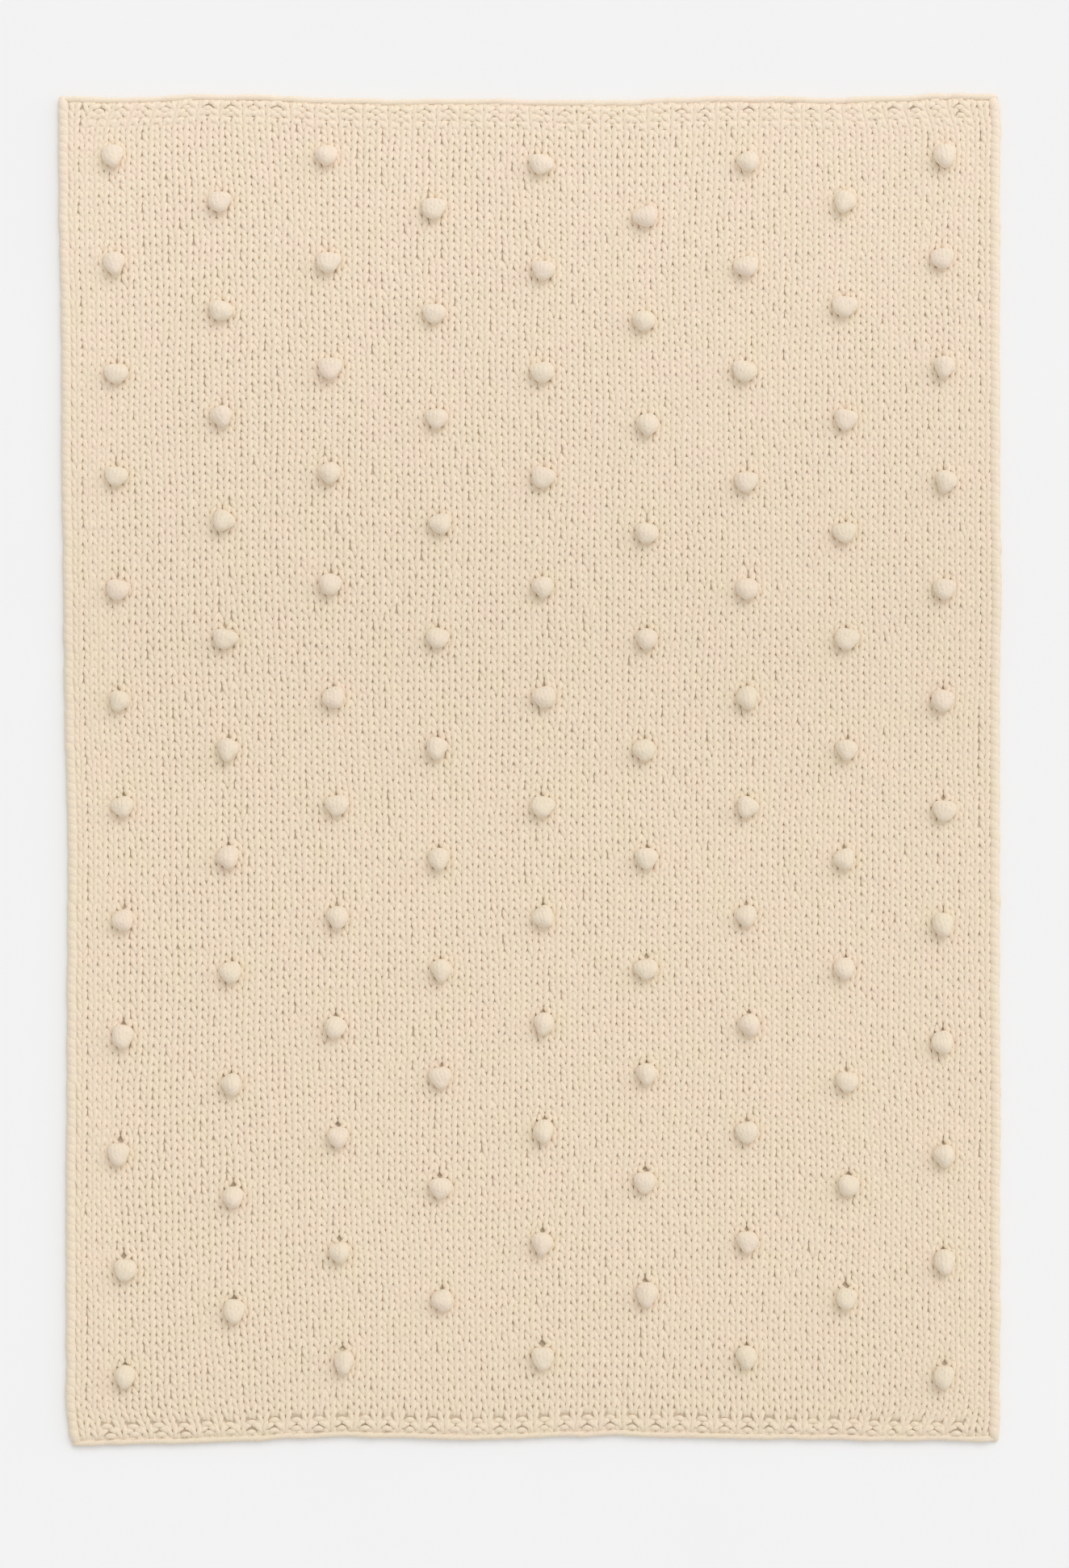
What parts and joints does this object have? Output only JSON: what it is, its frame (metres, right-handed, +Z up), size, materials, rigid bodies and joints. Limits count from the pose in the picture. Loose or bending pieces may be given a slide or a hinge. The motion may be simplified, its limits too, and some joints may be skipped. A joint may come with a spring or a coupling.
{
  "type": "knitted throw blanket",
  "caption": "Chunky hand-knit throw blanket in cream yarn, plain knit face with rows of raised bobbles, narrow ribbed ends, laid flat; folds in half.",
  "frame": {"origin": "on the surface that the throw lies on, under the centre of its bounding box", "axes": "+X across the width to the right as seen from the face, +Y along the length from the cast-on edge to the bind-off edge, +Z up out of the face"},
  "size_m": [1.25, 1.7898, 0.03],
  "materials": {
    "field_yarn": "matt smooth yarn, stocking stitch",
    "bobble_yarn": "matt smooth yarn, bobbles in stocking stitch",
    "rib_yarn": "matt smooth yarn, knit one purl one rib",
    "edge_yarn": "matt smooth yarn, chained edge",
    "selvedge_yarn": "matt smooth yarn, slipped edge stitches"
  },
  "bodies": {
    "lower_half": {"bobble_course_01": "bobble_yarn", "bobble_course_02": "bobble_yarn", "bobble_course_03": "bobble_yarn", "bobble_course_04": "bobble_yarn", "bobble_course_05": "bobble_yarn", "bobble_course_06": "bobble_yarn", "bobble_course_07": "bobble_yarn", "bobble_course_08": "bobble_yarn", "bobble_course_09": "bobble_yarn", "bobble_course_10": "bobble_yarn", "bobble_course_11": "bobble_yarn", "bottom_rib": "rib_yarn", "cast_on_edge": "edge_yarn", "plain_courses_01": "field_yarn", "plain_courses_02": "field_yarn", "plain_courses_03": "field_yarn", "plain_courses_04": "field_yarn", "plain_courses_05": "field_yarn", "plain_courses_06": "field_yarn", "plain_courses_07": "field_yarn", "plain_courses_08": "field_yarn", "plain_courses_09": "field_yarn", "plain_courses_10": "field_yarn", "plain_courses_11": "field_yarn", "plain_courses_12": "field_yarn", "selvedge_left_lower": "selvedge_yarn", "selvedge_right_lower": "selvedge_yarn"},
    "fold_spine": {"fold_spine_courses": "field_yarn", "selvedge_left_spine": "selvedge_yarn", "selvedge_right_spine": "selvedge_yarn"},
    "upper_half": {"bind_off_edge": "edge_yarn", "bobble_course_12": "bobble_yarn", "bobble_course_13": "bobble_yarn", "bobble_course_14": "bobble_yarn", "bobble_course_15": "bobble_yarn", "bobble_course_16": "bobble_yarn", "bobble_course_17": "bobble_yarn", "bobble_course_18": "bobble_yarn", "bobble_course_19": "bobble_yarn", "bobble_course_20": "bobble_yarn", "bobble_course_21": "bobble_yarn", "bobble_course_22": "bobble_yarn", "bobble_course_23": "bobble_yarn", "plain_courses_13": "field_yarn", "plain_courses_14": "field_yarn", "plain_courses_15": "field_yarn", "plain_courses_16": "field_yarn", "plain_courses_17": "field_yarn", "plain_courses_18": "field_yarn", "plain_courses_19": "field_yarn", "plain_courses_20": "field_yarn", "plain_courses_21": "field_yarn", "plain_courses_22": "field_yarn", "plain_courses_23": "field_yarn", "plain_courses_24": "field_yarn", "plain_courses_25": "field_yarn", "selvedge_left_upper": "selvedge_yarn", "selvedge_right_upper": "selvedge_yarn", "top_rib": "rib_yarn"}
  },
  "joints": [
    {"name": "fold", "type": "hinge", "parent": "lower_half", "child": "fold_spine", "pos_m": [0, -0.02399, 0.013], "axis": [1, 0, 0], "range_deg": [0, 90]},
    {"name": "fold_over", "type": "hinge", "parent": "fold_spine", "child": "upper_half", "pos_m": [0, -0.00143, 0.013], "axis": [1, 0, 0], "range_deg": [0, 90]}
  ],
  "couplings": [
    {"joint": "fold_over", "follows": "fold", "ratio": 1}
  ]
}
